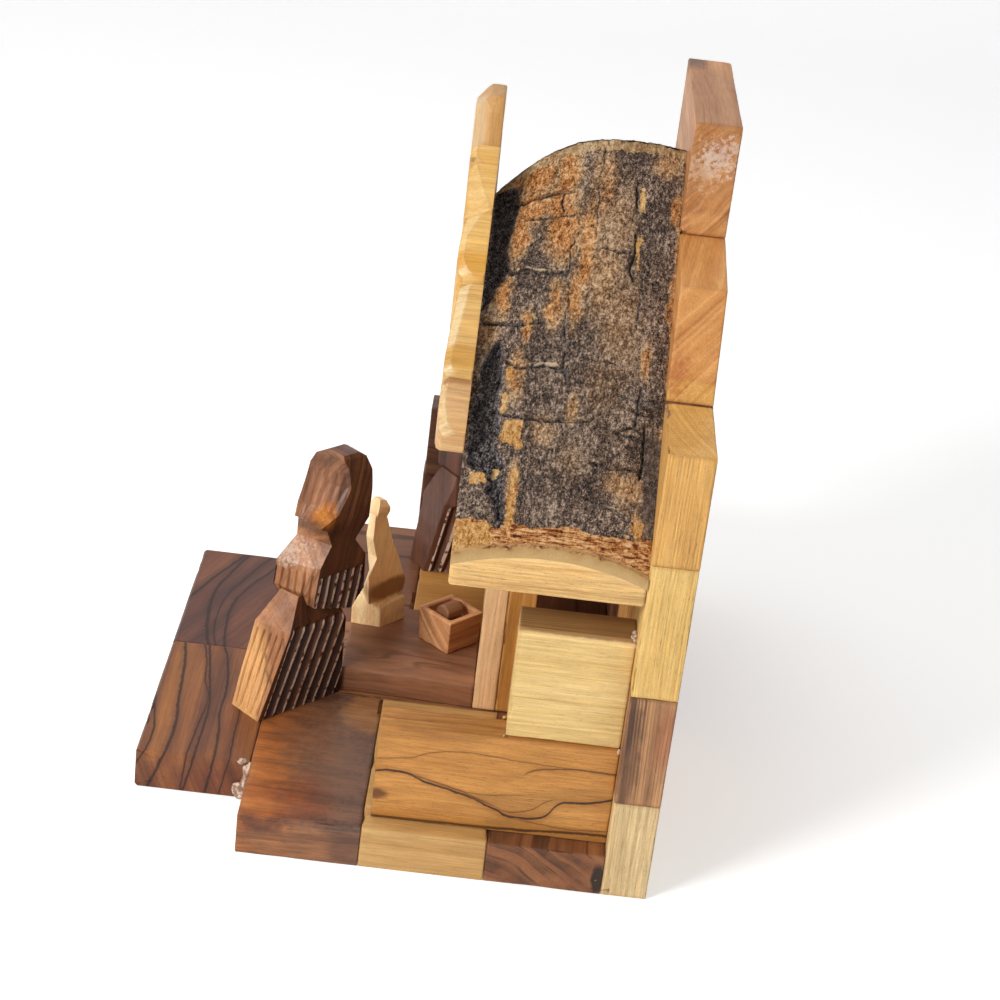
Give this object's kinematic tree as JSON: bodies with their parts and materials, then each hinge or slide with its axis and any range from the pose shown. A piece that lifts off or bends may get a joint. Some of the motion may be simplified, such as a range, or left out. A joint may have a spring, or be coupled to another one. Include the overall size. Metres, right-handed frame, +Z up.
{
  "type": "nativity_stable",
  "caption": "Small wooden nativity stable glued up from olive wood planks, with a bark gable roof, jagged back board and carved faceless figures at a manger",
  "frame": {"origin": "under the middle of the stable, on its flat underside", "axes": "+Z up, +X to the right wing as seen from the open front, -Y towards the open front"},
  "size_m": [0.138, 0.11, 0.149],
  "materials": {
    "olive_sapwood": "pale sapwood, sanded, thin satin varnish",
    "olive_golden": "golden wood with fine grain, thin satin varnish",
    "olive_brown": "mid brown wood with dark wavy veins, satin varnish",
    "olive_dark": "dark heartwood, satin to glossy varnish",
    "olive_bark": "rough cracked bark with rust-coloured patches, thin clear coat"
  },
  "bodies": {
    "root": {"base_front_right": "olive_brown", "base_front_left": "olive_dark", "base_centre": "olive_brown", "base_right_front": "olive_brown", "base_right_middle": "olive_sapwood", "base_right_back": "olive_dark", "base_left_front": "olive_brown", "base_left_middle": "olive_sapwood", "base_left_back": "olive_dark", "platform": "olive_dark", "right_sill": "olive_brown", "left_sill": "olive_dark", "right_wall": "olive_sapwood", "left_wall": "olive_dark", "right_post_front": "olive_sapwood", "right_post_back": "olive_golden", "left_post_front": "olive_sapwood", "left_post_back": "olive_golden", "board_right_foot": "olive_sapwood", "board_right_dark": "olive_dark", "board_right_pale": "olive_sapwood", "board_right_shoulder": "olive_golden", "board_left_foot": "olive_sapwood", "board_left_dark": "olive_dark", "board_left_pale": "olive_sapwood", "board_left_shoulder": "olive_golden", "board_panel_lower_right": "olive_golden", "board_panel_lower_left": "olive_brown", "board_panel_upper_right": "olive_brown", "board_panel_upper_left": "olive_golden", "board_tier_right": "olive_golden", "board_tier_left": "olive_golden", "board_peak": "olive_brown", "roof_slab_right": "olive_sapwood", "roof_slab_left": "olive_sapwood", "roof_bark_right": "olive_bark", "roof_bark_left": "olive_bark", "fascia_peak": "olive_golden", "fascia_right_top": "olive_golden", "fascia_right_upper": "olive_golden", "fascia_right_middle": "olive_golden", "fascia_right_low": "olive_golden", "fascia_left_top": "olive_golden", "fascia_left_upper": "olive_golden", "fascia_left_middle": "olive_golden", "fascia_left_low": "olive_golden", "standing_figure": "olive_dark", "waiting_figure": "olive_dark", "kneeling_figure": "olive_sapwood", "manger": "olive_brown", "swaddled_child": "olive_sapwood"}
  },
  "joints": []
}
